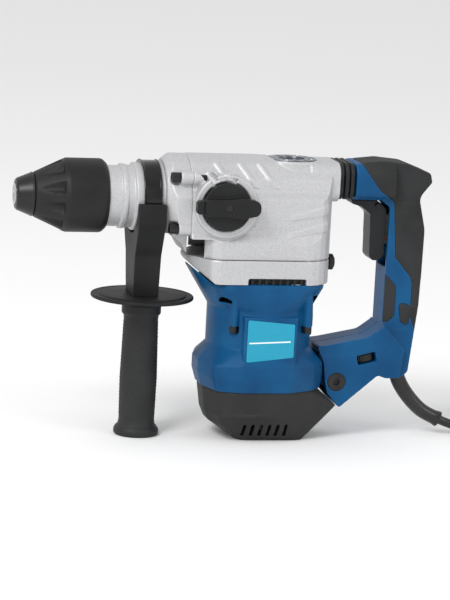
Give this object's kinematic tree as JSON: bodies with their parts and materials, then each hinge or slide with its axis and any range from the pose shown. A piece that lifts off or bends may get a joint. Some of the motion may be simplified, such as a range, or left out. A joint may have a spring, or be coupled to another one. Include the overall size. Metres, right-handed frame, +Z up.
{
  "type": "rotary hammer",
  "caption": "Vertical-motor rotary hammer with SDS-plus chuck, clamp-on side handle, mode knob, sprung D-handle with trigger, and a coiled mains cord.",
  "frame": {"origin": "centre of the motor's axis on the flat bottom of the end cap, where the tool stands", "axes": "+Z up along the motor axis, -X along the spindle out of the chuck, -Y towards the mode knob"},
  "size_m": [0.543, 0.1157, 0.2464],
  "materials": {
    "cast_aluminium": "sparkling silver paint over a casting",
    "blue_plastic": "satin moulded plastic",
    "dark_plastic": "matte moulded plastic",
    "black_plastic": "satin moulded plastic",
    "soft_rubber": "soft matte overmould",
    "black_metal": "black oxide",
    "grey_metal": "dark metallic",
    "bright_steel": "ground",
    "alloy": "machined",
    "copper": "wound and varnished",
    "carbon": "pressed carbon",
    "orange_plastic": "moulded",
    "label_face": "plain printed panel",
    "cord_rubber": "glossy sheath"
  },
  "bodies": {
    "root": {"nose_casting": "cast_aluminium", "spindle_bearings": "bright_steel", "spindle_seal": "soft_rubber", "nose_screws": "black_metal", "gear_bearings": "bright_steel", "gear_housing": "cast_aluminium", "gearbox_base": "cast_aluminium", "oil_cap": "grey_metal", "housing_plug": "black_metal", "motor_housing": "blue_plastic", "motor_screws": "black_metal", "label_plate": "label_face", "stator": "copper", "motor_bearings": "bright_steel", "carbon_brushes": "carbon", "end_cap": "dark_plastic", "vent_grille": "black_plastic", "bellows": "soft_rubber", "handle_spring": "bright_steel"},
    "spindle": {"tool_holder": "bright_steel", "dust_cap": "soft_rubber", "locking_balls": "bright_steel", "sleeve_spring": "bright_steel", "hammer_tube": "bright_steel", "crown_gear": "bright_steel"},
    "sleeve": {"locking_sleeve": "black_plastic"},
    "impact_bolt": {"impact_bolt": "bright_steel"},
    "striker": {"striker": "bright_steel"},
    "piston": {"piston": "alloy", "wrist_pin": "bright_steel", "con_rod": "bright_steel"},
    "crank": {"crankshaft": "bright_steel", "crank_gear": "bright_steel"},
    "idler": {"idler_gear": "bright_steel", "idler_shaft": "bright_steel"},
    "armature": {"armature_shaft": "bright_steel", "armature_core": "copper", "commutator": "copper", "fan": "black_plastic"},
    "side_handle": {"clamp_band": "black_metal", "handle_yoke": "black_plastic", "clamp_bolt": "bright_steel", "guard_disc": "black_plastic"},
    "grip": {"side_grip": "soft_rubber"},
    "selector": {"selector_knob": "black_plastic", "knob_screw": "black_metal", "selector_shaft": "bright_steel"},
    "lock_button": {"selector_button": "black_plastic"},
    "handle": {"handle_left_shell": "blue_plastic", "handle_right_shell": "blue_plastic", "grip_overmould": "soft_rubber", "pivot_bolt": "black_metal", "trigger_switch": "black_plastic", "cord_guard": "cord_rubber", "cord": "cord_rubber", "cord_coil": "cord_rubber", "plug": "cord_rubber"},
    "trigger": {"trigger": "black_plastic"},
    "plunger": {"switch_plunger": "orange_plastic"},
    "dial": {"speed_dial": "black_plastic"}
  },
  "joints": [
    {"name": "armature_spin", "type": "hinge", "parent": "root", "child": "armature", "pos_m": [0, 0, 0.09], "axis": [0, 0, 1], "continuous": true},
    {"name": "crank_spin", "type": "hinge", "parent": "root", "child": "crank", "pos_m": [0.022, 0, 0.18], "axis": [0, 0, 1], "continuous": true},
    {"name": "idler_spin", "type": "hinge", "parent": "root", "child": "idler", "pos_m": [-0.024, 0, 0.17], "axis": [0, 0, 1], "continuous": true},
    {"name": "spindle_spin", "type": "hinge", "parent": "root", "child": "spindle", "pos_m": [-0.1, 0, 0.2085], "axis": [1, 0, 0], "continuous": true},
    {"name": "sleeve_slide", "type": "slide", "parent": "spindle", "child": "sleeve", "axis": [1, 0, 0], "range_m": [0, 0.008], "stiffness_N_per_m": 900, "springref_m": -0.006, "deforming": ["sleeve_spring"]},
    {"name": "impact_bolt_slide", "type": "slide", "parent": "spindle", "child": "impact_bolt", "axis": [1, 0, 0], "range_m": [-0.006, 0.004]},
    {"name": "striker_slide", "type": "slide", "parent": "spindle", "child": "striker", "axis": [1, 0, 0], "range_m": [-0.0115, 0]},
    {"name": "piston_slide", "type": "slide", "parent": "root", "child": "piston", "axis": [1, 0, 0], "range_m": [-0.02, 0]},
    {"name": "side_handle_swivel", "type": "hinge", "parent": "root", "child": "side_handle", "pos_m": [-0.1042, 0, 0.2085], "axis": [1, 0, 0], "continuous": true},
    {"name": "grip_twist", "type": "hinge", "parent": "side_handle", "child": "grip", "pos_m": [-0.1042, 0, 0.06], "axis": [0, 0, 1], "range_deg": [-360, 0]},
    {"name": "selector_turn", "type": "hinge", "parent": "root", "child": "selector", "pos_m": [-0.044, -0.05, 0.2075], "axis": [0, 1, 0], "range_deg": [0, 180]},
    {"name": "lock_button_press", "type": "slide", "parent": "selector", "child": "lock_button", "axis": [0, 1, 0], "range_m": [0, 0.0015], "stiffness_N_per_m": 1500, "springref_m": -0.001},
    {"name": "handle_sway", "type": "hinge", "parent": "root", "child": "handle", "pos_m": [0.068, 0, 0.051], "axis": [0, 1, 0], "range_deg": [-1.6, 0], "stiffness_Nm_per_rad": 300, "springref_deg": 1.15, "deforming": ["bellows", "handle_spring"]},
    {"name": "trigger_pull", "type": "hinge", "parent": "handle", "child": "trigger", "pos_m": [0.098, 0, 0.206], "axis": [0, 1, 0], "range_deg": [-7, 0], "stiffness_Nm_per_rad": 2.5, "springref_deg": 4.58},
    {"name": "plunger_push", "type": "slide", "parent": "handle", "child": "plunger", "axis": [1, 0, 0], "range_m": [0, 0.0042]},
    {"name": "dial_turn", "type": "hinge", "parent": "handle", "child": "dial", "pos_m": [0.094, -0.0115, 0.072], "axis": [-0.2419, 0, 0.9703], "range_deg": [0, 270]}
  ],
  "couplings": [
    {"joint": "crank_spin", "follows": "armature_spin", "ratio": -0.18919},
    {"joint": "idler_spin", "follows": "armature_spin", "ratio": -0.17073},
    {"joint": "spindle_spin", "follows": "armature_spin", "ratio": 0.052533},
    {"joint": "plunger_push", "follows": "trigger_pull", "m_per_rad": -0.03}
  ]
}
